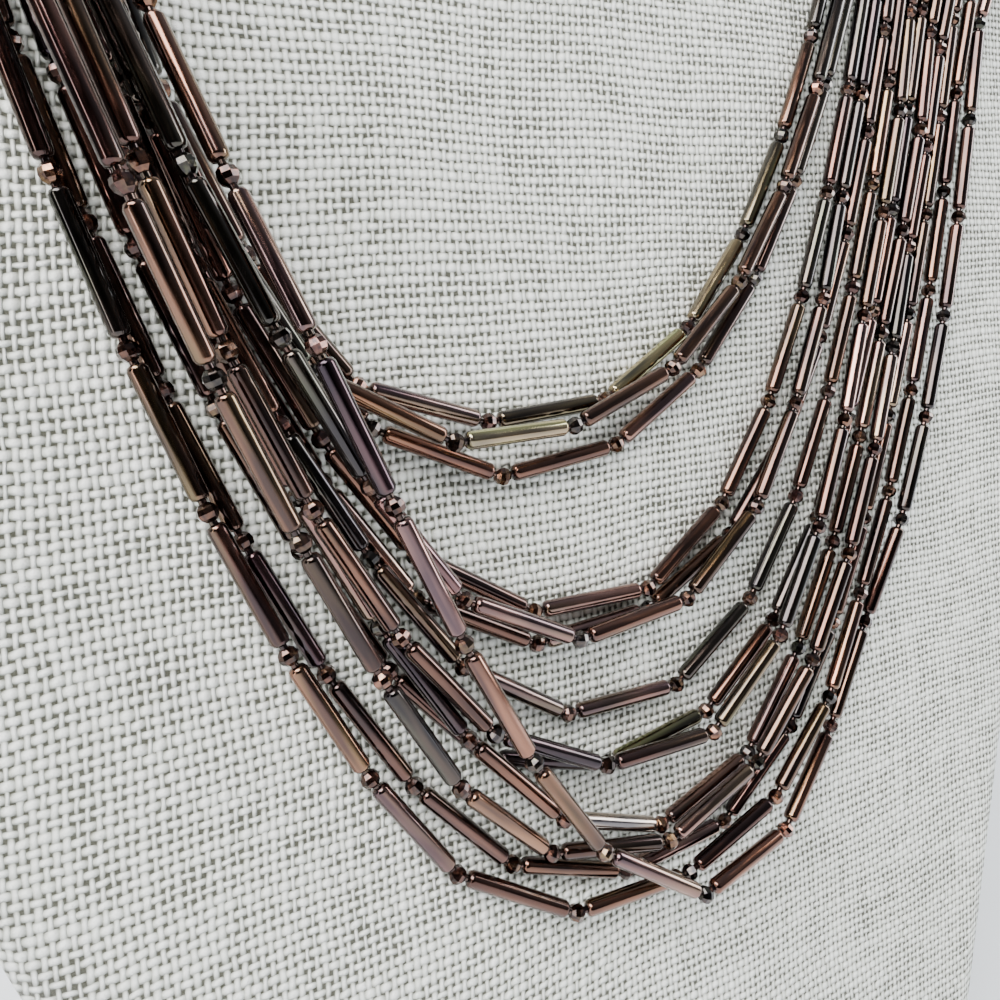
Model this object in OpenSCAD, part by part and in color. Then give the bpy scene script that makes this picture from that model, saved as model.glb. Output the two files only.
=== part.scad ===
// A graduated necklace of fourteen bead strings on a padded, cloth covered bust board.
// Each string is a chain of straight glass tubes with a small bead between each pair,
// so its route is a smooth curve walked in equal steps, one step for each tube.
// Strings that cross are laid on one another in a stated order, like the real ones.

/* [Beads] */
// Length of a glass tube
tube_len = 13; // [12.4:0.1:13.2]
// Thickness of a glass tube
tube_d = 1.95; // [1.7:0.05:1.95]
// Bore of a tube, for the thread
bore_d = 1.1; // [1:0.05:1.15]
// Thickness of the thread
thread_d = 0.6; // [0.4:0.05:0.6]

/* [Board] */
// Half of the board's width at its foot
foot_half = 45; // [42:1:48]
// Half of the neck's width
neck_half = 32; // [30:1:33]
// Height of the board along its face
board_h = 294; // [285:1:310]
// Backward lean of the board on its stand
board_lean = 12; // [8:1:15]

/* [Strut] */
// Thickness of the fin behind the board
strut_t = 6; // [4:1:10]
// Distance of the fin's heel from the board's front foot
strut_reach = 96; // [90:1:110]
// Height on the board at which the fin ends
strut_top = 165; // [120:5:180]

/* [Clasp] */
// Width of an end bar, along the row of beads
bar_w = 3; // [2:0.5:4]
// Depth of an end bar, square to the board
bar_d = 4; // [3:0.5:4]
// Depth of the clasp between the bars
clasp_d = 4; // [3:0.5:4]
// Height of the clasp between the bars
clasp_h = 12; // [8:1:20]

/* [Hidden] */

board_t = 10;
side_lean = 18;
shoulder = 38;
shoulder_x = 49;
shoulder_w = 235;

link = 15.4;
rest = 1.25;
clear = 2.25;
drape = 2.2;
wrap_r = 9.2;
wrap_turn = 10;
lane_step = 3;
top_w = 188;
mid_w = 145;
left_in = 56;
left_pitch = 0.85;
right_in = 40;
right_pitch = 2.4;
tuck = 4;
tuck_from = 0.5;
bar_x = 13;
bar_top = 236;
bar_depth = 12.4;
gap = 0.3;

// One row a string, inner to outer. Its points are chosen by hand, in whole and half
// millimetres on the board's face, x to the right of its middle and w up from its foot:
// the lowest point, a point on the way up the left, x on the right at mid_w, the lane over
// the left shoulder, and the way from the lowest point to the first small bead. The right
// shoulder's lanes are in the order of the rows.
LOW_X = 0;
LOW_W = 1;
LEFT_X = 2;
LEFT_W = 3;
RIGHT_X = 4;
LEFT_LANE = 5;
FIRST = 6;
STRINGS = [
    [-14, 126.5, -34, 130, 16.5, 0, 9],
    [-20, 124.5, -38, 130, 18.5, 2, 9],
    [-17, 120.5, -36, 130, 22, 3, 13],
    [-7, 104.5, -27, 110, 30.5, 4, 5],
    [-8, 101.5, -28.5, 110, 33.5, 5, 10],
    [-14, 101.5, -30, 108, 36, 6, 12],
    [-5, 92, -26, 100, 39.5, 7, 6],
    [0, 86, -26, 95, 42, 8, 4],
    [-7, 86, -29.5, 95, 44.5, 9, 12.5],
    [0, 76.5, -25, 90, 47, 10, 12.5],
    [-7, 75.5, -30, 90, 49.5, 11, 3],
    [-1, 72.5, -33.5, 90, 52, 12, 7.5],
    [-9, 70.5, -37, 90, 55.5, 13, 7.5],
    [3, 69, -22, 90, 57.5, 1, 11]
];
// The order in which the strings are laid on the board, lowest first: every third string,
// three times over, and last the one that crosses all the others
ORDER = [for (start = [2, 0, 1]) for (k = [start:3:12]) k, 13];

function eased(s) = s * s * (3 - 2 * s);
function bent(a, ta, b, tb, s) =
    (2 * s * s * s - 3 * s * s + 1) * a + (s * s * s - 2 * s * s + s) * ta
    + (3 * s * s - 2 * s * s * s) * b + (s * s * s - s * s) * tb;
function unit(v) = v / norm(v);

// Directions on the face for one side, g being 1 on the right and -1 on the left
function inward(g) = [-g * cos(shoulder), sin(shoulder)];
function outward(g) = [g * sin(shoulder), cos(shoulder)];
function climb(g) = [g * sin(wrap_turn), cos(wrap_turn)];
along_edge = climb(1) * inward(1);
across_edge = climb(1) * outward(1);
function crossing(g, lane) =
    [g * shoulder_x, shoulder_w] - inward(g) * lane_step / across_edge * lane;

// The route of one half string, as points [x, w, height off the face]: up the face in a
// curve through a given point, out to its lane, over the rounded shoulder in a helix and
// in to the bar behind. An amount swings its upper half out, away from the middle.
function bow_through(low, end, at) =
    ln((at.y - low.y) / (end.y - low.y)) / ln((at.x - low.x) / (end.x - low.x));
function face_part(low, end, bow, swing) = [
    for (i = [0:90])
        let (u = i / 90, s = eased(held((u - tuck_from) / (1 - tuck_from))))
        [low.x + (end.x - low.x) * u + swing * s, low.y + (end.y - low.y) * pow(u, bow), rest]
];
function fan_part(end, dir, cross, g) = [
    for (i = [1:30])
        let (s = i / 30, far = norm(cross - end))
        let (p = bent(end, dir * far, cross, climb(g) * far, s))
        [p.x, p.y, rest + (wrap_r - board_t / 2 - rest) * eased(s)]
];
function wrap_part(cross, g) = [
    for (i = [1:30])
        let (t = 6 * i, run = wrap_r * along_edge / across_edge * t * PI / 180)
        let (p = cross + inward(g) * run + outward(g) * wrap_r * sin(t))
        [p.x, p.y, wrap_r * cos(t) - board_t / 2]
];
function back_part(exit, g, lane) = [
    for (i = [1:30])
        let (s = i / 30, goal = [g * (bar_x + gap), bar_top - lane_step * lane])
        let (far = norm(goal - exit), dir = inward(g) * along_edge - outward(g) * across_edge)
        let (p = bent(exit, dir * far, goal, [-g, 0] * far, s))
        [p.x, p.y, -board_t / 2 - wrap_r + (wrap_r + board_t / 2 - bar_depth) * eased(s)]
];
function half(low, tip, at, swing, lane, g) =
    let (cross = crossing(g, lane), end = tip - [g * swing, 0], bow = bow_through(low, end, at))
    let (dir = unit([end.x - low.x, (end.y - low.y) * bow]))
    let (over = wrap_part(cross, g), last = over[len(over) - 1])
    concat(face_part(low, end, bow, g * swing), fan_part(tip, dir, cross, g), over,
        back_part([last.x, last.y], g, lane));

// A chain of equal links along a route
function along(path, i, left) =
    let (step = norm(path[i + 1] - path[i]))
    left <= step
        ? [i, path[i] + (path[i + 1] - path[i]) * left / step]
        : along(path, i + 1, left - step);
function at_link(a, b, c) =
    let (d = b - a, m = a - c, md = m * d, dd = d * d)
    a + d * (sqrt(max(0, md * md - dd * (m * m - link * link))) - md) / dd;
function walk(path, i, at, out) =
    i >= len(path)
        ? out
        : norm(path[i] - at) < link
            ? walk(path, i + 1, at, out)
            : let (p = at_link(path[i - 1], path[i], at))
                walk(path, i, p, concat(out, [p]));
function ended(chain, goal) =
    let (n = len(chain) - 1)
    norm(goal - chain[n]) < 2
        ? [for (i = [0:n]) i == n ? goal : chain[i]]
        : concat(chain, [goal]);
function turned(list) = [for (i = [len(list) - 1:-1:0]) list[i]];
function chain(k) =
    let (row = STRINGS[k], low = [row[LOW_X], row[LOW_W]], lane = row[LEFT_LANE])
    let (right_tip = [right_in + right_pitch * k, top_w])
    let (left_tip = [-left_in - left_pitch * lane, top_w])
    let (right = half(low, right_tip, [row[RIGHT_X], mid_w], 0, k, 1))
    let (left = half(low, left_tip, [row[LEFT_X], row[LEFT_W]], tuck, lane, -1))
    let (first = along(right, 0, row[FIRST]))
    let (to_right = concat([first[1]], [for (i = [first[0] + 1:len(right) - 1]) right[i]]))
    let (home = concat([first[1]], [for (i = [first[0]:-1:1]) right[i]], left))
    let (r = ended(walk(to_right, 1, first[1], []), right[len(right) - 1]))
    let (l = ended(walk(home, 1, first[1], []), left[len(left) - 1]))
    concat(turned(l), [first[1]], r);

// Laying one chain over those already on the board. Where two links pass within reach
// of each other on the face, the upper one is raised, and it drapes down from there.
function on_face(p) =
    p.z > 0 && p.y + (abs(p.x) - shoulder_x) * tan(shoulder) < shoulder_w - 0.5;
function flat(p) = [p.x, p.y];
function held(s) = min(1, max(0, s));
function foot(p, a, b) = held((p - a) * (b - a) / ((b - a) * (b - a)));
function meetings(a0, a1, b0, b1) =
    let (da = a1 - a0, db = b1 - b0, r = b0 - a0, det = da.x * db.y - da.y * db.x)
    let (s = (r.x * db.y - r.y * db.x) / det, t = (r.x * da.y - r.y * da.x) / det)
    concat(
        abs(det) > 0.000001 && s >= 0 && s <= 1 && t >= 0 && t <= 1 ? [[s, t]] : [],
        [[0, foot(a0, b0, b1)], [1, foot(a1, b0, b1)]],
        [[foot(b0, a0, a1), 0], [foot(b1, a0, a1), 1]]
    );
function needs(chain, below) = [
    for (i = [0:len(chain) - 2])
        if (on_face(chain[i]) && on_face(chain[i + 1]))
            let (a0 = flat(chain[i]), a1 = flat(chain[i + 1]), mid = (a0 + a1) / 2)
            for (m = below)
                for (j = [0:len(m) - 2])
                    if (norm(flat(m[j] + m[j + 1]) / 2 - mid) < link + clear)
                        if (on_face(m[j]) && on_face(m[j + 1]))
                            let (b0 = flat(m[j]), b1 = flat(m[j + 1]))
                            for (c = meetings(a0, a1, b0, b1))
                                let (off = norm(a0 + (a1 - a0) * c[0] - b0 - (b1 - b0) * c[1]))
                                if (off < clear)
                                    [i, c[0], m[j].z * (1 - c[1]) + m[j + 1].z * c[1]
                                        + sqrt(clear * clear - off * off)]
];
function shared(chain, list) = [
    for (n = list)
        let (i = n[0], s = n[1], h = n[2])
        each s < 0.25
            ? [[i, (h - s * chain[i + 1].z) / (1 - s)]]
            : s > 0.75
                ? [[i + 1, (h - (1 - s) * chain[i].z) / s]]
                : [[i, h], [i + 1, h]]
];
function laid(chain, below) =
    let (list = shared(chain, needs(chain, below)))
    let (high = [for (n = list) if (n[1] > chain[n[0]].z) n])
    [
        for (q = [0:len(chain) - 1])
            let (p = chain[q])
            on_face(p)
                ? [p.x, p.y, max(concat([p.z],
                    [for (n = high) if (abs(n[0] - q) < 5) n[1] - drape * abs(n[0] - q)]))]
                : p
    ];
function stack(n, done) =
    n == len(ORDER) ? done : stack(n + 1, concat(done, [laid(chain(ORDER[n]), done)]));
// From [x, w, height off the face] to x, depth and height
function placed(p) = [p.x, -p.z, p.y];
function route(k) =
    let (all = stack(0, []), at = search(k, ORDER)[0])
    [for (p = all[at]) placed(p)];

module standing() {
    translate([0, -strut_reach / 2, 0])
        rotate([-board_lean, 0, 0])
            children();
}

// A chain of drilled tubes, one on each full link
module tubes(path) {
    for (i = [0:len(path) - 2]) {
        d = path[i + 1] - path[i];
        if (norm(d) > link - 0.6) {
            translate((path[i] + path[i + 1]) / 2)
                rotate([0, acos(d.z / norm(d)), atan2(d.y, d.x)])
                    difference() {
                        cylinder(d = tube_d, h = tube_len, center = true, $fn = 10);
                        cylinder(d = bore_d, h = tube_len + 2, center = true, $fn = 8);
                    }
        }
    }
}

// A round cord through the points of a path, mitred at each of them
CORD_SIDES = 8;
function first_ring(path, d) =
    let (t = unit(path[1] - path[0]), n = unit(cross(t, [0.13, 1, 0.21])), b = cross(t, n))
    [
        for (k = [0:CORD_SIDES - 1])
            let (a = 360 * k / CORD_SIDES)
            path[0] + d / 2 * (cos(a) * n + sin(a) * b)
    ];
function next_ring(path, i, ring) =
    let (t = unit(path[i] - path[i - 1]))
    let (f = i == len(path) - 1 ? t : unit(t + unit(path[i + 1] - path[i])))
    [for (p = ring) p + t * ((path[i] - p) * f) / (t * f)];
function rings(path, i, out) =
    i == len(path)
        ? out
        : rings(path, i + 1, concat(out, [next_ring(path, i, out[i - 1])]));
module cord(path, d) {
    ring_list = rings(path, 1, [first_ring(path, d)]);
    points = [for (r = ring_list) each r];
    n = CORD_SIDES;
    last = (len(path) - 1) * n;
    sides = [
        for (i = [0:len(path) - 2])
            for (k = [0:n - 1])
                [i * n + k, i * n + (k + 1) % n, (i + 1) * n + (k + 1) % n, (i + 1) * n + k]
    ];
    ends = [
        [for (k = [n - 1:-1:0]) k],
        [for (k = [0:n - 1]) last + k]
    ];
    polyhedron(points = points, faces = concat(sides, ends), convexity = 10);
}

// The board's outline, set in by the same amount all round
function line_meet(n1, c1, n2, c2) =
    let (det = n1.x * n2.y - n1.y * n2.x)
    [(c1 * n2.y - c2 * n1.y) / det, (n1.x * c2 - n2.x * c1) / det];
function rounded(n1, c1, n2, c2, r, steps) =
    let (mid = line_meet(n1, c1 - r, n2, c2 - r), a = atan2(n1.y, n1.x), b = atan2(n2.y, n2.x))
    [
        for (i = [0:steps])
            let (t = a + (b - a) * i / steps)
            mid + r * [cos(t), sin(t)]
    ];
function half_outline(inset, low) =
    let (n1 = [cos(side_lean), -sin(side_lean)], n2 = outward(1), n3 = [1, 0], n4 = [0, 1])
    let (c1 = foot_half * cos(side_lean) - inset)
    let (c2 = [shoulder_x, shoulder_w] * outward(1) + board_t / 2 - inset)
    let (c3 = neck_half - inset, c4 = board_h - inset)
    concat(
        [[(c1 + low * sin(side_lean)) / cos(side_lean), low]],
        rounded(n1, c1, n2, c2, 25 - inset, 8),
        rounded(n2, c2, n3, c3, -10 - inset, 5),
        rounded(n3, c3, n4, c4, 8 - inset, 5)
    );
function board_ring(inset, depth) =
    let (right = half_outline(inset, depth * tan(board_lean)))
    [
        for (p = right) [p.x, depth, p.y],
        for (p = turned(right)) [-p.x, depth, p.y]
    ];

module display_board() {
    r = board_t / 2;
    ring_list = [for (t = [0:30:180]) board_ring(r * (1 - sin(t)), r * (1 - cos(t)))];
    n = len(ring_list[0]);
    sides = [
        for (i = [0:len(ring_list) - 2])
            for (k = [0:n - 1])
                each [
                    [i * n + k, (i + 1) * n + k, (i + 1) * n + (k + 1) % n],
                    [i * n + k, (i + 1) * n + (k + 1) % n, i * n + (k + 1) % n]
                ]
    ];
    ends = [
        [for (k = [0:n - 1]) k],
        [for (k = [n - 1:-1:0]) (len(ring_list) - 1) * n + k]
    ];
    color([0.80, 0.81, 0.77])
        standing()
            polyhedron(points = [for (q = ring_list) each q],
                faces = concat(sides, ends), convexity = 6);
}

module back_strut() {
    s = sin(board_lean);
    c = cos(board_lean);
    top = [board_t * c + strut_top * s, strut_top * c - board_t * s];
    color([0.72, 0.72, 0.68])
        translate([-strut_t / 2, -strut_reach / 2, 0])
            rotate([90, 0, 90])
                linear_extrude(strut_t)
                    polygon([[board_t / c, 0], [strut_reach, 0], [strut_reach, 6],
                        top + [7, 0], top]);
}

bar_h = 13 * lane_step + 4;
bar_mid = bar_top - 6.5 * lane_step;
module end_bar(side) {
    color([0.55, 0.42, 0.28])
        standing()
            translate([side * (bar_x - bar_w / 2), bar_depth, bar_mid])
                cube([bar_w, bar_d, bar_h], center = true);
}
module end_bar_left() {
    end_bar(-1);
}
module end_bar_right() {
    end_bar(1);
}
module clasp() {
    color([0.55, 0.42, 0.28])
        standing()
            translate([0, bar_depth, bar_mid])
                cube([2 * (bar_x - bar_w), clasp_d, clasp_h], center = true);
}

module drilled_string(k) {
    color([0.35, 0.22, 0.20])
        standing()
            tubes(route(k));
}
module cord_string(k) {
    color([0.40, 0.26, 0.20])
        standing()
            cord(route(k), tube_d);
}
module thread(k) {
    color([0.20, 0.16, 0.14])
        standing()
            cord(route(k), thread_d);
}
module strand_1() {
    drilled_string(0);
}
module strand_2() {
    drilled_string(1);
}
module strand_3() {
    drilled_string(2);
}
module strand_4() {
    drilled_string(3);
}
module strand_5() {
    drilled_string(4);
}
module strand_6() {
    drilled_string(5);
}
module strand_7() {
    drilled_string(6);
}
module strand_8() {
    drilled_string(7);
}
module strand_9() {
    cord_string(8);
}
module strand_10() {
    cord_string(9);
}
module strand_11() {
    cord_string(10);
}
module strand_12() {
    cord_string(11);
}
module strand_13() {
    cord_string(12);
}
module strand_14() {
    cord_string(13);
}
module thread_1() {
    thread(0);
}
module thread_2() {
    thread(1);
}
module thread_3() {
    thread(2);
}
module thread_4() {
    thread(3);
}
module thread_5() {
    thread(4);
}
module thread_6() {
    thread(5);
}
module thread_7() {
    thread(6);
}
module thread_8() {
    thread(7);
}

display_board();
back_strut();
end_bar_left();
end_bar_right();
clasp();
strand_1();
strand_2();
strand_3();
strand_4();
strand_5();
strand_6();
strand_7();
strand_8();
strand_9();
strand_10();
strand_11();
strand_12();
strand_13();
strand_14();
thread_1();
thread_2();
thread_3();
thread_4();
thread_5();
thread_6();
thread_7();
thread_8();
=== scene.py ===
# %% [markdown]
# # A multi strand necklace on its display board
#
# Fourteen strings of long metal-coated glass tubes hang over a board covered in pale
# linen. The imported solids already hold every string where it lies, so this lesson
# reads each route back from them, models one tube and one small bead, and strings
# copies of the two along the routes.

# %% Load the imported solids
import math
import random

import bpy
import numpy as np
from mathutils import Matrix, Vector


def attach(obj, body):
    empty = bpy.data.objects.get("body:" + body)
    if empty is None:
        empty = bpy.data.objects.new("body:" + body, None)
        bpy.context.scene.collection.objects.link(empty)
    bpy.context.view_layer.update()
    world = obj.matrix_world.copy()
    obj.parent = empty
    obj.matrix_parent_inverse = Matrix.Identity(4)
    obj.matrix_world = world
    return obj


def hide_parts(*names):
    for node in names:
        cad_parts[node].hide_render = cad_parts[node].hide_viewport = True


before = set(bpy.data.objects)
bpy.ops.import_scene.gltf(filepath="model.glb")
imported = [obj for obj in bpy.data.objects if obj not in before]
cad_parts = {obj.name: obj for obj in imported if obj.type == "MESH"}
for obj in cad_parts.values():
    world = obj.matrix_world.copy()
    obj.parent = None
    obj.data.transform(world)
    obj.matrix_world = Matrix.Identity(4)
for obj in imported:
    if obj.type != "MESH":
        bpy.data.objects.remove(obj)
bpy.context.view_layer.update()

MM = 0.001
random.seed(14)

# %% [markdown]
# ## Places on the board
#
# The board leans back, so it is easier to think on its face: x to the right, w up along
# the face, d into the board. One function turns such a place into a place in the room.

# %% From the board's face to the room
LEAN = math.radians(12)
FOOT_Y = -48


def direction_from_board(x, w, d):
    back = d * math.cos(LEAN) + w * math.sin(LEAN)
    up = w * math.cos(LEAN) - d * math.sin(LEAN)
    return Vector((x, back, up))


def from_board(x, w, d):
    """A place in millimetres on the board's face, as a place in the room in metres."""
    return (direction_from_board(x, w, d) + Vector((0, FOOT_Y, 0))) * MM


# %% [markdown]
# ## The camera
#
# The photograph is taken from close by, left of the middle, square to the face but
# turned to the right. The close distance makes the left strings look large.

# %% Put the camera where the photograph was taken from
EYE_PLACE = (-59.6, 122.9, -80.6)
EYE_AHEAD = (0.445, -0.055, 0.894)
EYE_RIGHT = (0.887, -0.109, -0.448)
eye = bpy.data.cameras.new("eye")
eye.lens = 29.45
eye.sensor_width = 36
eye.clip_start = 0.005
camera = bpy.data.objects.new("eye", eye)
bpy.context.scene.collection.objects.link(camera)
ahead = direction_from_board(*EYE_AHEAD).normalized()
right = direction_from_board(*EYE_RIGHT)
right = (right - ahead * right.dot(ahead)).normalized()
over = right.cross(ahead)
camera.matrix_world = Matrix((
    (right.x, over.x, -ahead.x, 0),
    (right.y, over.y, -ahead.y, 0),
    (right.z, over.z, -ahead.z, 0),
    (0, 0, 0, 1),
))
camera.location = from_board(*EYE_PLACE)
bpy.context.scene.camera = camera
print("camera at", [round(v, 4) for v in camera.location])

# %% [markdown]
# ## Shader maths in plain words
#
# A material is a graph of small sums. Writing them as sums, with + and *, keeps the
# recipe readable: each Socket remembers the tree it belongs to and makes the node.


# %% A socket that can be added and multiplied
class Socket:
    """An output of a node, or a number, that makes a Math node when it is reckoned with."""

    def __init__(self, tree, out):
        self.tree, self.out = tree, out

    def node(self, kind, links=(), **settings):
        made = self.tree.nodes.new(kind)
        for name, value in settings.items():
            setattr(made, name, value)
        for place, value in dict(links).items():
            if isinstance(value, Socket):
                self.tree.links.new(value.out, made.inputs[place])
            else:
                made.inputs[place].default_value = value
        return made

    def sum(self, operation, *others):
        made = self.node("ShaderNodeMath", enumerate((self, *others)), operation=operation)
        return Socket(self.tree, made.outputs[0])

    def __add__(self, other):
        return self.sum("ADD", other)

    def __mul__(self, other):
        return self.sum("MULTIPLY", other)

    def __sub__(self, other):
        return self.sum("SUBTRACT", other)

    def __truediv__(self, other):
        return self.sum("DIVIDE", other)

    def __rsub__(self, other):
        return (self - other) * -1

    __radd__ = __add__
    __rmul__ = __mul__

    def floor(self):
        return self.sum("FLOOR")

    def cosine(self):
        return self.sum("COSINE")

    def power(self, n):
        return self.sum("POWER", n)

    def least(self, n):
        return self.sum("MINIMUM", n)

    def most(self, n):
        return self.sum("MAXIMUM", n)

    def size(self):
        return self.sum("ABSOLUTE")

    def under(self, n):
        return self.sum("LESS_THAN", n)

    def held(self):
        return self.most(0.0).least(1.0)

    def from_to(self, low, high):
        """0 below low, 1 above high and even between them."""
        return ((self - low) / (high - low)).held()


def join(x, y, z):
    made = x.node("ShaderNodeCombineXYZ", {0: x, 1: y, 2: z})
    return Socket(x.tree, made.outputs[0])


def cloudy(where, scale, detail, rough=0.5):
    """Noise about 0.5 at a place. Each whole step of detail adds a finer layer."""
    links = {"Vector": where, "Scale": scale, "Detail": detail, "Roughness": rough}
    made = where.node("ShaderNodeTexNoise", links)
    return Socket(where.tree, made.outputs["Fac"])


def mixed(amount, low, high):
    """A colour between two colours."""
    made = amount.node("ShaderNodeMix", {"Factor": amount, "A": low, "B": high}, data_type="RGBA")
    return Socket(amount.tree, made.outputs["Result"])


def multiplied(tint, shade):
    """A colour dyed with another."""
    links = {"Factor": 1.0, "A": tint, "B": shade}
    made = tint.node("ShaderNodeMix", links, data_type="RGBA", blend_type="MULTIPLY")
    return Socket(tint.tree, made.outputs["Result"])


def new_material(name, **constants):
    """A material and its shader, with the constants set on the shader's own sockets."""
    material = bpy.data.materials.new(name)
    material.use_nodes = True
    shader = material.node_tree.nodes["Principled BSDF"]
    for place, value in constants.items():
        shader.inputs[place.replace("_", " ")].default_value = value
    return material, shader


def feed(shader, place, socket):
    socket.tree.links.new(socket.out, shader.inputs[place])


def bumped(shader, height, depth, strength=1.0):
    links = {"Height": height, "Distance": depth, "Strength": strength}
    made = height.node("ShaderNodeBump", links)
    feed(shader, "Normal", Socket(height.tree, made.outputs[0]))


def places(material):
    """x, y and z of the Object coordinates, in millimetres."""
    tree = material.node_tree
    start = tree.nodes.new("ShaderNodeTexCoord")
    parts = tree.nodes.new("ShaderNodeSeparateXYZ")
    tree.links.new(start.outputs["Object"], parts.inputs[0])
    return [Socket(tree, out) * 1000.0 for out in parts.outputs]


# %% [markdown]
# ## Linen
#
# The cloth is a plain weave: each upright yarn goes over one level yarn and under the
# next. The yarns are uneven, some thick and some thin. Shade is painted into the cloth's
# colour: the lower the weave lies, the darker it is painted, so the sides of each yarn
# are painted darker and dark specks of painted shade show where four yarns leave a hole.
# Each yarn has a round top, and a wave lifts it over every second yarn that it crosses.
# All of it is worked out from the place on the board, so the weave needs no picture and
# no thousands of faces. Noise is costly in a render, so each use of it here has only as
# many layers as show.

# %% The weave's sizes and colours
YARN_ACROSS = 0.87
YARN_DOWN = 1.07
UPRIGHT_SLANT = math.radians(3.1)
LEVEL_SLANT = math.radians(2.2)
DRIFT = 1.8
# The next four are in widths of a yarn.
WANDER = 0.38
UPRIGHT_HALF = 0.32
LEVEL_HALF = 0.37
SLUB = 0.44
LEVEL_ON_TOP = 1.16
FIBRE_HEIGHT = 0.2
WEAVE_DEPTH = 0.38 * MM
YARN_DULL, YARN_BRIGHT = (0.790, 0.815, 0.760, 1), (0.985, 0.990, 0.965, 1)
# Painted shade: the colour deep in a hole, and the colour at its rim and down the yarns' sides.
PAINTED_SHADE_DEEP, PAINTED_SHADE_MID = (0.030, 0.030, 0.018, 1), (0.330, 0.340, 0.285, 1)


# %% A woven cloth from two families of yarns


def yarn_top(off_middle, half_width, over):
    """The height of a round yarn across its width, lifted where it lies over the other."""
    round_top = (1.0 - (off_middle / half_width).power(2.0)).most(0.0).power(0.7)
    return (round_top * 0.66 + over * 0.36) * off_middle.size().under(half_width)


def linen_material():
    material, shader = new_material("linen", Roughness=0.92, Specular_IOR_Level=0.0)
    shader.inputs["Sheen Weight"].default_value = 0.2
    shader.inputs["Sheen Roughness"].default_value = 0.6
    x, y, z = places(material)
    w = z * math.cos(LEAN) + (y - FOOT_Y) * math.sin(LEAN)
    d = (y - FOOT_Y) * math.cos(LEAN) - z * math.sin(LEAN)
    drift = cloudy(join(x, w, 0.0), 0.045, 0.0) - 0.5
    drift_2 = cloudy(join(x + 57.0, w, 0.0), 0.05, 0.0) - 0.5
    across = (x - w * math.tan(UPRIGHT_SLANT) + drift * DRIFT) / YARN_ACROSS
    upward = (w - x * math.tan(LEVEL_SLANT) + drift_2 * DRIFT) / YARN_DOWN
    # i and j count the yarns. Odd multiples of them give each yarn noise of its own.
    i = across.floor()
    j = upward.floor()
    upright_wander = cloudy(join(i * 3.17, upward * 0.55, i * 0.91), 1.0, 1.0) - 0.5
    level_wander = cloudy(join(across * 0.55, j * 4.13, j * 0.77), 1.0, 1.0) - 0.5
    upright_slub = cloudy(join(i * 7.31 + 0.5, upward * 0.15, i * 0.37 + 0.5), 1.0, 0.0) - 0.47
    level_slub = cloudy(join(across * 0.13, j * 5.77 + 0.5, j * 0.53 + 0.5), 1.0, 0.0) - 0.47
    upright = yarn_top(
        across - i - 0.5 + upright_wander * WANDER,
        UPRIGHT_HALF + SLUB * upright_slub,
        (math.pi * (upward - 0.5 + i)).cosine() + 0.3,
    )
    level = LEVEL_ON_TOP * yarn_top(
        upward - j - 0.5 + level_wander * WANDER,
        LEVEL_HALF + SLUB * level_slub,
        (math.pi * (across + 0.5 + j)).cosine() + 0.3,
    )
    fibres = cloudy(join(x, w * 1.3, d), 5.0, 1.0, 0.7) - 0.5
    height = upright.most(level) + fibres * FIBRE_HEIGHT + 0.15
    depth = height.from_to(0.05, 1.36)
    per_yarn = cloudy(join(i * 3.7 + 0.5, j * 2.9 + 0.5, i * 0.21), 0.9, 0.0)
    slow = cloudy(join(x, w, d), 0.03, 1.0)
    pale = mixed((per_yarn + slow * 0.6 - 0.3).held(), YARN_DULL, YARN_BRIGHT)
    # Painted shade: where the weave lies low its colour is painted darker, darkest in the holes.
    painted_weave_shade = mixed(depth.from_to(0.02, 0.50), PAINTED_SHADE_DEEP, PAINTED_SHADE_MID)
    feed(shader, "Base Color", mixed(depth.from_to(0.38, 0.96), painted_weave_shade, pale))
    bumped(shader, height, WEAVE_DEPTH)
    return material


linen = linen_material()
print("linen yarns", YARN_ACROSS, "by", YARN_DOWN, "mm")

# %% [markdown]
# ## The padded board
#
# The real one is a stiff board with a thin, tight pad under the cloth. The solid has its
# outline and its full-round edge, but in flat strips. A copy of it is merged and shaded
# smooth, so that the cloth runs evenly round the edge. It stays exactly on the solid,
# because the strings rest on it. The flat front and back are each made one face, and the
# normals are weighted by area, which keeps those faces flat up to the rim.


# %% Cover the board
def deselect():
    bpy.ops.object.select_all(action="DESELECT")


def select_only(obj):
    deselect()
    obj.select_set(True)
    bpy.context.view_layer.objects.active = obj


def merged_copy(node, name):
    """A copy of a solid's mesh as one skin, as an object of its own."""
    copy = bpy.data.objects.new(name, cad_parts[node].data.copy())
    copy.data.materials.clear()
    bpy.context.scene.collection.objects.link(copy)
    select_only(copy)
    bpy.ops.object.mode_set(mode="EDIT")
    bpy.ops.mesh.select_all(action="SELECT")
    bpy.ops.mesh.remove_doubles(threshold=0.00001)
    bpy.ops.object.mode_set(mode="OBJECT")
    return copy


def apply_modifier(obj, kind, **settings):
    modifier = obj.modifiers.new(kind.lower(), kind)
    for name, value in settings.items():
        setattr(modifier, name, value)
    select_only(obj)
    bpy.ops.object.modifier_apply(modifier=modifier.name)


def select_faces(obj, wanted):
    """Leaves only the wanted faces selected, and goes into edit mode."""
    bpy.ops.object.mode_set(mode="EDIT")
    bpy.ops.mesh.select_mode(type="FACE")
    bpy.ops.mesh.select_all(action="DESELECT")
    bpy.ops.object.mode_set(mode="OBJECT")
    for p in obj.data.polygons:
        p.select = wanted(p)
    bpy.ops.object.mode_set(mode="EDIT")


def into_board(place):
    """How far in millimetres a place in the room lies behind the board's face."""
    return (place.y / MM - FOOT_Y) * math.cos(LEAN) - place.z / MM * math.sin(LEAN)


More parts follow.
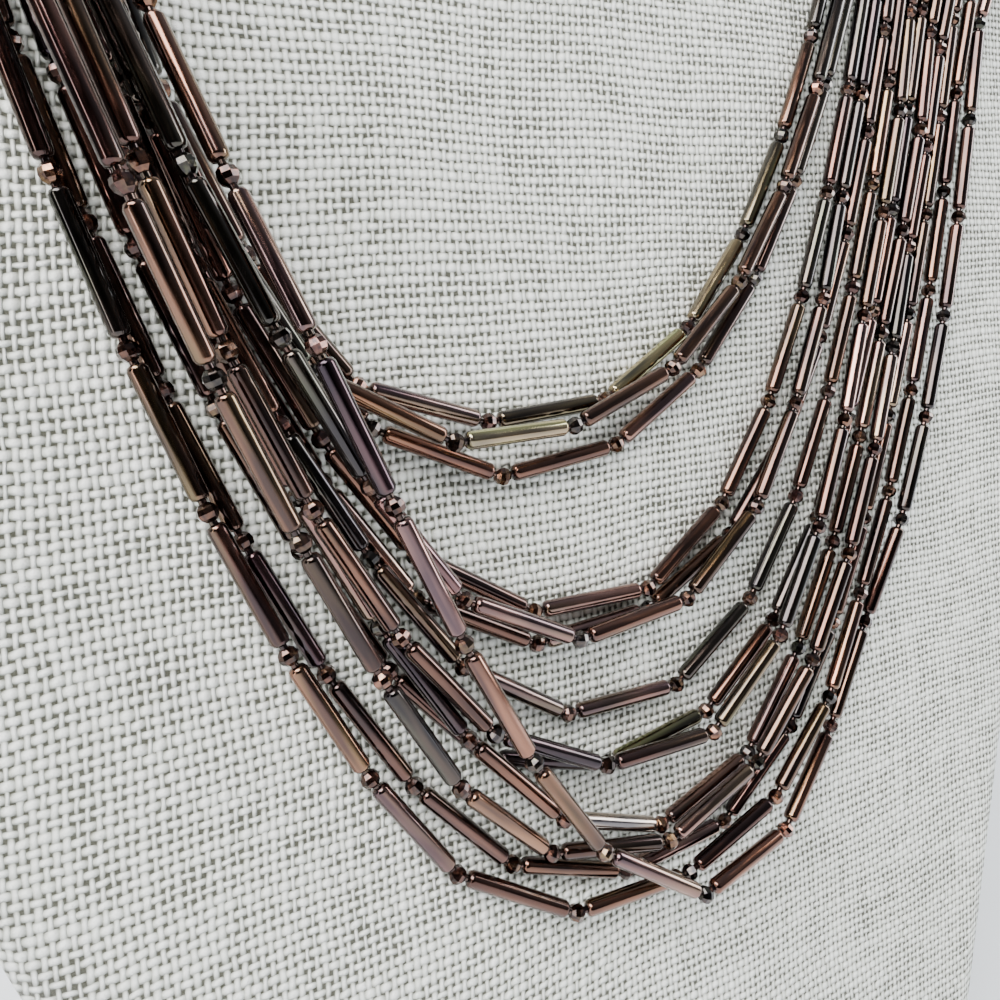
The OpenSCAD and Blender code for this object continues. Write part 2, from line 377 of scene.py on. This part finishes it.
board = merged_copy("display_board", "linen_board")
depths = [into_board(v.co) for v in board.data.vertices]
for level in (min(depths), max(depths)):
    select_faces(board, lambda p: abs(into_board(p.center) - level) < 0.02)
    bpy.ops.mesh.dissolve_faces()
    bpy.ops.object.mode_set(mode="OBJECT")
select_only(board)
bpy.ops.object.shade_smooth_by_angle(angle=math.radians(40))
apply_modifier(board, "WEIGHTED_NORMAL", mode="FACE_AREA", weight=100, keep_sharp=True)
board.data.materials.append(linen)
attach(board, "root")
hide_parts("display_board")
print("board faces", len(board.data.polygons))

# %% [markdown]
# ## Finding the strings
#
# Each string or its thread is a cord in the solids, with one ring of points at every
# small bead. Short edges belong to a ring and long ones run to the next ring, so the
# middle of each ring, taken in order, is the string's route.


# %% Read a route back from a cord
LONGEST_RING_EDGE = 1.5


def route_of(node):
    """The places of a string's small beads, from its left bar to its right bar, in mm."""
    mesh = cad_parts[node].data
    places_mm = np.array([v.co for v in mesh.vertices]) * 1000
    spots, same = np.unique(np.round(places_mm, 3), axis=0, return_inverse=True)
    same = same.reshape(-1)
    group = list(range(len(spots)))

    def leader(a):
        while group[a] != a:
            a = group[a]
        return a

    pairs = {tuple(sorted(int(same[v]) for v in e.vertices)) for e in mesh.edges}
    long_pairs = []
    for a, b in pairs:
        if a == b:
            continue
        if np.linalg.norm(spots[a] - spots[b]) < LONGEST_RING_EDGE:
            group[leader(a)] = leader(b)
        else:
            long_pairs.append((a, b))
    middle = {}
    for a in range(len(spots)):
        middle.setdefault(leader(a), []).append(spots[a])
    middle = {k: np.mean(v, axis=0) for k, v in middle.items()}
    near = {k: set() for k in middle}
    for a, b in long_pairs:
        a, b = leader(a), leader(b)
        if a != b:
            near[a].add(b)
            near[b].add(a)
    ends = sorted((k for k in near if len(near[k]) == 1), key=lambda k: middle[k][0])
    at, last, route = ends[0], None, []
    while at is not None:
        route.append(Vector(middle[at]))
        following = [k for k in near[at] if k != last]
        last, at = at, (following[0] if following else None)
    return route


cords = [f"thread_{k}" for k in range(1, 9)] + [f"strand_{k}" for k in range(9, 15)]
routes = [route_of(node) for node in cords]
print("beads on each route", [len(r) for r in routes])

# %% [markdown]
# ## One glass tube
#
# The real tubes are cut from drawn six-sided glass rod: soft edges run their whole
# length, and the ends are melted round and catch the light as a bright rim. A six-sided
# cylinder with bevelled edges has that section in twelve sides, and a bevel in two steps
# rounds its ends down to the bore. The thread comes out of the bore as a thin neck that
# ends inside the next small bead.

# %% Model the tube
TUBE_LENGTH = 13.0
TUBE_ACROSS = 2.10
SHARP_CORNERS = 1.04
SIDE_BEVEL = 0.29
END_ROUND = 0.56
NECK_ACROSS = TUBE_ACROSS - 2 * END_ROUND
NECK_LENGTH = 1.2


def select_edges(obj, wanted):
    """Leaves only the wanted edges selected, and goes into edit mode."""
    bpy.ops.object.mode_set(mode="EDIT")
    bpy.ops.mesh.select_mode(type="EDGE")
    bpy.ops.mesh.select_all(action="DESELECT")
    bpy.ops.object.mode_set(mode="OBJECT")
    for e in obj.data.edges:
        a, b = (obj.data.vertices[n].co for n in e.vertices)
        e.select = wanted(a, b)
    bpy.ops.object.mode_set(mode="EDIT")


deselect()
bpy.ops.mesh.primitive_cylinder_add(
    vertices=6, radius=TUBE_ACROSS / 2 * SHARP_CORNERS * MM, depth=TUBE_LENGTH * MM
)
tube = bpy.context.object
tube.name = "glass_tube"
select_edges(tube, lambda a, b: abs(a.z - b.z) > 1 * MM)
bpy.ops.mesh.bevel(offset=SIDE_BEVEL * MM, segments=1, affect="EDGES")
bpy.ops.object.mode_set(mode="OBJECT")
print("twelve sides:", len(tube.data.polygons), "faces")
select_edges(tube, lambda a, b: abs(a.z - b.z) < 1 * MM)
bpy.ops.mesh.bevel(offset=END_ROUND * MM, segments=2, profile=0.5, affect="EDGES")
bpy.ops.object.mode_set(mode="OBJECT")
print("rounded ends:", len(tube.data.polygons), "faces")
for end in (1, -1):
    select_faces(tube, lambda p: p.normal.z * end > 0.95)
    outwards = (0, 0, end * NECK_LENGTH * MM)
    bpy.ops.mesh.extrude_region_move(TRANSFORM_OT_translate={"value": outwards})
    bpy.ops.object.mode_set(mode="OBJECT")
print("with necks:", len(tube.data.polygons), "faces")
select_only(tube)
bpy.ops.object.shade_smooth_by_angle(angle=math.radians(50))
apply_modifier(tube, "WEIGHTED_NORMAL", mode="FACE_AREA", weight=80, keep_sharp=True)
print("tube", [round(v * 1000, 2) for v in tube.dimensions], "mm")

# %% [markdown]
# ## One small bead
#
# Between the tubes sits a round bead, cut with flat facets that glint one by one. A
# coarse sphere left flat has just such facets. Each copy is turned a little, so that no
# two glint alike.

# %% Model the small bead
BEAD_ACROSS = 2.06
deselect()
bpy.ops.mesh.primitive_uv_sphere_add(segments=8, ring_count=6, radius=BEAD_ACROSS / 2 * MM)
bead = bpy.context.object
bead.name = "cut_bead"
bpy.ops.object.mode_set(mode="EDIT")
bpy.ops.mesh.select_all(action="SELECT")
bpy.ops.transform.resize(value=(1.02, 1.02, 0.97))
bpy.ops.object.mode_set(mode="OBJECT")
select_only(bead)
bpy.ops.object.shade_flat()
print("small bead:", len(bead.data.polygons), "faces")

# %% [markdown]
# ## The colours of the glass
#
# The coating differs from tube to tube: most are plum or bronze, some copper, mauve or
# gunmetal, and a few have gone olive, gold or silver. A draw of lots gives most tubes
# their colour. Those that stand out in the photograph are named in a short table, by
# string and by where they show in the picture.

# %% A palette and the tubes that stand out
GLASS = {
    "plum": (0.062, 0.034, 0.028),
    "bronze": (0.088, 0.052, 0.036),
    "copper": (0.132, 0.073, 0.050),
    "mauve": (0.158, 0.100, 0.092),
    "gunmetal": (0.038, 0.034, 0.032),
    "violet": (0.034, 0.022, 0.028),
    "olive": (0.116, 0.106, 0.066),
    "gold": (0.290, 0.270, 0.170),
    "silver": (0.300, 0.300, 0.255),
}
LOTS = (
    ["plum"] * 12 + ["bronze"] * 7 + ["copper"] * 2
    + ["mauve"] * 3 + ["gunmetal"] * 3 + ["violet"] * 2
)
STANDS_OUT = [
    # string, across and down in the picture, glass
    (1, 646, 365, "gold"),
    (1, 710, 285, "gold"),
    (1, 762, 190, "olive"),
    (1, 800, 110, "bronze"),
    (1, 550, 412, "olive"),
    (1, 420, 408, "mauve"),
    (2, 510, 434, "gold"),
    (2, 700, 300, "bronze"),
    (3, 558, 460, "bronze"),
    (3, 650, 413, "mauve"),
    (3, 385, 425, "copper"),
    (4, 508, 600, "mauve"),
    (4, 605, 600, "mauve"),
    (5, 600, 622, "mauve"),
    (5, 485, 630, "olive"),
    (6, 640, 622, "bronze"),
    (7, 530, 706, "mauve"),
    (7, 627, 700, "mauve"),
    (7, 790, 560, "gunmetal"),
    (8, 739, 663, "olive"),
    (8, 770, 580, "gunmetal"),
    (8, 545, 742, "violet"),
    (9, 655, 737, "olive"),
    (9, 555, 735, "violet"),
    (9, 800, 560, "gunmetal"),
    (10, 614, 811, "silver"),
    (10, 712, 798, "mauve"),
    (11, 325, 440, "gunmetal"),
    (11, 264, 280, "plum"),
    (13, 851, 479, "olive"),
    (13, 545, 893, "bronze"),
    (14, 485, 716, "copper"),
    (14, 564, 810, "bronze"),
    (14, 649, 863, "mauve"),
    (14, 733, 846, "copper"),
]


PICTURE = 1000
NEAR_ENOUGH = 34


def in_picture(place):
    """Where a place in the room shows in the square picture."""
    seen = place - camera.location
    scale = PICTURE * eye.lens / eye.sensor_width / max(seen.dot(ahead), 0.001)
    return PICTURE / 2 + seen.dot(right) * scale, PICTURE / 2 - seen.dot(over) * scale


def glass_for(number, place):
    """The glass of the tube whose middle is at a place on a numbered string."""
    across, down = in_picture(place)
    near = [
        (math.hypot(across - x, down - y), glass)
        for string, x, y, glass in STANDS_OUT if string == number
    ]
    if near and min(near)[0] < NEAR_ENOUGH:
        return min(near)[1]
    return random.choice(LOTS)


# %% [markdown]
# ## Metal-coated glass
#
# A thin metal film under clear glass shines like metal with a glossy coat over it. The
# film is uneven: it runs along the tube in faint streaks, thin and dark in one, warm or
# golden in the next. The tint and a place of its own are kept in attributes, so that one
# material serves every tube, however the tube lies.


# %% The glass of the tubes and of the small beads
FILM_DARK = (0.46, 0.42, 0.50, 1)
FILM_WARM = (1.62, 1.30, 1.12, 1)
FILM_GOLDEN = (1.30, 1.42, 0.98, 1)


def attribute(material, name, part):
    node = material.node_tree.nodes.new("ShaderNodeAttribute")
    node.attribute_name = name
    return Socket(material.node_tree, node.outputs[part])


def coated_glass(name, blotches):
    """The glass, with so many blotches of its film to a millimetre."""
    material, shader = new_material(name, Metallic=1.0)
    shader.inputs["Coat Weight"].default_value = 0.5
    shader.inputs["Coat Roughness"].default_value = 0.05
    shader.inputs["Coat IOR"].default_value = 1.5
    tint = attribute(material, "tint", "Color")
    own = attribute(material, "own_place", "Vector")
    along = cloudy(own, blotches, 1.0)
    fine = cloudy(own, 3.2, 1.0, 0.6)
    dark, warm, golden = (multiplied(tint, film) for film in (FILM_DARK, FILM_WARM, FILM_GOLDEN))
    bright = mixed(cloudy(own, 0.55, 1.0).from_to(0.50, 0.64), warm, golden)
    feed(shader, "Base Color", mixed(along.from_to(0.34, 0.66), dark, bright))
    feed(shader, "Roughness", 0.09 + fine.from_to(0.3, 0.75) * 0.17)
    bumped(shader, fine, 0.03 * MM, 0.3)
    return material


tube_glass = coated_glass("tube_glass", 0.9)
bead_glass = coated_glass("bead_glass", 1.8)
tube.data.materials.append(tube_glass)
bead.data.materials.append(bead_glass)

# %% [markdown]
# ## Stringing
#
# Each string is strung like the real one: a tube on every link of its route and a small
# bead at every joint. Near the bars, where a whole tube no longer fits, the string ends
# in a short row of small beads. The copies are joined into one piece a string.

# %% Lay one copy in its place
NECK_TINT = (0.050, 0.032, 0.028)
STREAKS = 0.10


def laid_copy(model, place, along, tint, seed):
    """A copy of a model at a place in mm, with its z along a direction and its own tint."""
    copy = bpy.data.objects.new(model.name, model.data.copy())
    bpy.context.scene.collection.objects.link(copy)
    mesh = copy.data
    count = len(mesh.vertices)
    own = np.empty(count * 3)
    mesh.vertices.foreach_get("co", own)
    own = own.reshape(-1, 3) * 1000
    colours = np.ones((count, 4))
    past_end = np.abs(own[:, 2]) > TUBE_LENGTH / 2 - 0.02
    neck = past_end & (np.hypot(own[:, 0], own[:, 1]) < NECK_ACROSS * 0.56)
    colours[:, :3] = np.where(neck[:, None], NECK_TINT, tint)
    # Places squeezed along a tube draw its noise out into streaks, and the seed gives each
    # copy noise of its own.
    own[:, 2] *= STREAKS if model is tube else 1.0
    own += np.array([seed * 13.7, seed * 5.1, seed * 3.3]) % 97
    tints = mesh.attributes.new("tint", "FLOAT_COLOR", "POINT")
    tints.data.foreach_set("color", colours.ravel())
    own_places = mesh.attributes.new("own_place", "FLOAT_VECTOR", "POINT")
    own_places.data.foreach_set("vector", own.ravel())
    turn = along.to_track_quat("Z", "Y").to_matrix().to_4x4()
    roll = Matrix.Rotation(random.uniform(0, 2 * math.pi), 4, "Z")
    mesh.transform(Matrix.Translation(place * MM) @ turn @ roll)
    return copy


def varied(tint, least=0.82, most=1.2):
    """A tint made a little lighter or darker, and a little off its hue."""
    light = random.uniform(least, most)
    return tuple(c * light * random.uniform(0.94, 1.06) for c in tint)


# %% String the copies along the routes
SHORTEST_FULL_LINK = 14.8
BEAD_GLASSES = ["plum", "bronze", "plum", "gunmetal", "copper"]


def joined(copies, name):
    deselect()
    for copy in copies:
        copy.select_set(True)
    bpy.context.view_layer.objects.active = copies[0]
    bpy.ops.object.join()
    piece = bpy.context.object
    piece.name = name
    piece.data.name = name
    return piece


def strung(number, route):
    """One string of tubes and beads on a route, as one piece."""
    copies = []
    for k, (a, b) in enumerate(zip(route, route[1:])):
        along = b - a
        seed = number * 40 + k
        if along.length > SHORTEST_FULL_LINK:
            tint = varied(GLASS[glass_for(number, (a + b) / 2 * MM)])
            copies.append(laid_copy(tube, (a + b) / 2, along, tint, seed))
            continue
        row = max(1, round(along.length / BEAD_ACROSS))
        for n in range(1, row):
            tint = varied(GLASS[random.choice(BEAD_GLASSES)])
            copies.append(laid_copy(bead, a + along * n / row, along, tint, seed + n / 7))
    for k in range(1, len(route) - 1):
        along = route[k + 1] - route[k - 1]
        tint = varied(GLASS[random.choice(BEAD_GLASSES)], 0.6, 1.2)
        copies.append(laid_copy(bead, route[k], along, tint, number * 41 + k + 0.5))
    return joined(copies, f"beads_{number}")


strings = []
for number, route in enumerate(routes, 1):
    piece = strung(number, route)
    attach(piece, "root")
    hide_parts(f"strand_{number}")
    strings.append(piece)
print("faces on each string", [len(s.data.polygons) for s in strings])
for model in (tube, bead):
    bpy.data.objects.remove(model)

# %% [markdown]
# ## Thread
#
# What shows of the thread between a bead and a tube is dark and slightly glossy. It
# keeps the solid's own shape and gets fine strands across it.

# %% Dress the threads
THREAD_DARK, THREAD_LIGHT = (0.030, 0.020, 0.017, 1), (0.110, 0.075, 0.062, 1)
thread_material, thread_shader = new_material("bead_thread", Roughness=0.55)
x, y, z = places(thread_material)
strand_noise = cloudy(join(x * 3.0, y * 3.0, z * 3.0), 1.5, 2.0)
feed(thread_shader, "Base Color", mixed(strand_noise, THREAD_DARK, THREAD_LIGHT))
bumped(thread_shader, strand_noise, 0.05 * MM, 0.6)
for k in range(1, 9):
    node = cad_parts[f"thread_{k}"]
    node.data.materials.clear()
    node.data.materials.append(thread_material)
print("threads dressed", 8)

# %% [markdown]
# ## The fastening behind the board
#
# The photograph doesn't show how the strings end, so the solids have two plain bars and
# a block. They are cast pieces with softened edges, in the same darkened metal.


# %% A way to soften a plain solid
def softened(node, name, edge, segments, material):
    """A copy of a plain solid with its edges rounded, in the solid's place."""
    piece = merged_copy(node, name)
    select_only(piece)
    bpy.ops.object.mode_set(mode="EDIT")
    bpy.ops.mesh.select_all(action="SELECT")
    bpy.ops.mesh.dissolve_limited(angle_limit=math.radians(1))
    bpy.ops.object.mode_set(mode="OBJECT")
    apply_modifier(piece, "BEVEL", width=edge * MM, segments=segments, limit_method="ANGLE")
    bpy.ops.object.shade_smooth_by_angle(angle=math.radians(35))
    piece.data.materials.append(material)
    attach(piece, "root")
    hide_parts(node)
    print(name, len(piece.data.polygons), "faces")


# %% Cast the bars and the block in aged metal
METAL_DARK, METAL_LIGHT = (0.120, 0.075, 0.045, 1), (0.380, 0.250, 0.140, 1)
aged_metal, metal_shader = new_material("aged_metal", Metallic=1.0)
x, y, z = places(aged_metal)
worn = cloudy(join(x, y, z), 0.35, 4.0, 0.6)
scratch = cloudy(join(x * 0.4, y * 4.0, z * 0.4), 2.2, 3.0)
feed(metal_shader, "Base Color", mixed(worn.from_to(0.35, 0.7), METAL_DARK, METAL_LIGHT))
feed(metal_shader, "Roughness", 0.28 + scratch * 0.25)
bumped(metal_shader, scratch, 0.04 * MM, 0.4)
softened("end_bar_left", "bar_left", 0.6, 3, aged_metal)
softened("end_bar_right", "bar_right", 0.6, 3, aged_metal)
softened("clasp", "clasp_block", 0.8, 4, aged_metal)

# %% [markdown]
# ## The strut
#
# A fin of fibreboard holds the board up from behind. It is painted like the linen, and
# its paint is a little rough from the roller.

# %% Soften and paint the strut
PAINT_DULL, PAINT_BRIGHT = (0.50, 0.51, 0.47, 1), (0.60, 0.61, 0.57, 1)
painted_board, paint_shader = new_material("painted_board", Specular_IOR_Level=0.3)
x, y, z = places(painted_board)
roller = cloudy(join(x, y, z), 1.4, 4.0, 0.6)
patch = cloudy(join(x, y, z), 0.05, 3.0)
feed(paint_shader, "Base Color", mixed(patch.from_to(0.3, 0.7), PAINT_DULL, PAINT_BRIGHT))
feed(paint_shader, "Roughness", 0.55 + roller * 0.25)
bumped(paint_shader, roller, 0.12 * MM, 0.5)
softened("back_strut", "strut_fin", 0.7, 3, painted_board)

# %% [markdown]
# ## Floor and light
#
# The photograph has one large soft light from the upper left, in a pale room that is
# dark on the photographer's side. Shiny tubes show mostly what they mirror: the window
# gives their long bright streaks, the cloth their pale edges, and the dark side of the
# room the deep brown between. A weaker lamp from the right gives their far sides a glint,
# and a narrow one from the left draws a thin line along them.

# %% A pale floor
deselect()
bpy.ops.mesh.primitive_plane_add(size=6)
floor = bpy.context.object
floor.name = "floor"
floor_material, floor_shader = new_material("pale_floor", Roughness=0.8)
x, y, z = places(floor_material)
grain = cloudy(join(x, y, z), 0.02, 3.0)
feed(floor_shader, "Base Color", mixed(grain, (0.80, 0.83, 0.87, 1), (0.86, 0.89, 0.92, 1)))
floor.data.materials.append(floor_material)

# %% The room's light
TO_PHOTOGRAPHER = (camera.location - from_board(0, 120, 0)).normalized()
ROOM_LOW, ROOM_HIGH = (0.34, 0.36, 0.39, 1), (0.70, 0.75, 0.82, 1)
ROOM_DARK = (0.045, 0.042, 0.042, 1)


def room_light():
    """A room that is pale overhead and dark on the photographer's side."""
    room = bpy.data.worlds.new("room")
    room.use_nodes = True
    tree = room.node_tree
    where = tree.nodes.new("ShaderNodeTexCoord")

    def facing(direction):
        dot = tree.nodes.new("ShaderNodeVectorMath")
        dot.operation = "DOT_PRODUCT"
        tree.links.new(where.outputs["Generated"], dot.inputs[0])
        dot.inputs[1].default_value = direction
        return Socket(tree, dot.outputs["Value"])

    height = mixed(facing((0, 0, 1)).from_to(-0.1, 0.9), ROOM_LOW, ROOM_HIGH)
    colour = mixed(facing(TO_PHOTOGRAPHER).from_to(0.0, 0.80), height, ROOM_DARK)
    tree.links.new(colour.out, tree.nodes["Background"].inputs["Color"])
    tree.nodes["Background"].inputs["Strength"].default_value = 0.75
    return room


bpy.context.scene.world = room_light()

# %% Three soft lamps
LAMPS_AIM = Vector((0, 0, 0.12))


def soft_lamp(name, place, wide, high, watts, colour):
    lamp = bpy.data.lights.new(name, "AREA")
    lamp.shape = "RECTANGLE"
    lamp.size, lamp.size_y = wide, high
    lamp.energy = watts
    lamp.color = colour
    holder = bpy.data.objects.new(name, lamp)
    bpy.context.scene.collection.objects.link(holder)
    holder.location = place
    holder.rotation_euler = (LAMPS_AIM - Vector(place)).to_track_quat("-Z", "Y").to_euler()


soft_lamp("window", (-0.50, -0.30, 0.92), 0.95, 0.55, 33.0, (1.0, 0.985, 0.96))
soft_lamp("side_window", (0.85, -0.30, 0.45), 0.3, 0.8, 10.0, (0.95, 0.98, 1.0))
soft_lamp("narrow_window", (-0.90, -0.45, 0.20), 0.10, 0.7, 2.6, (1.0, 0.99, 0.97))
print("lamps", 3)
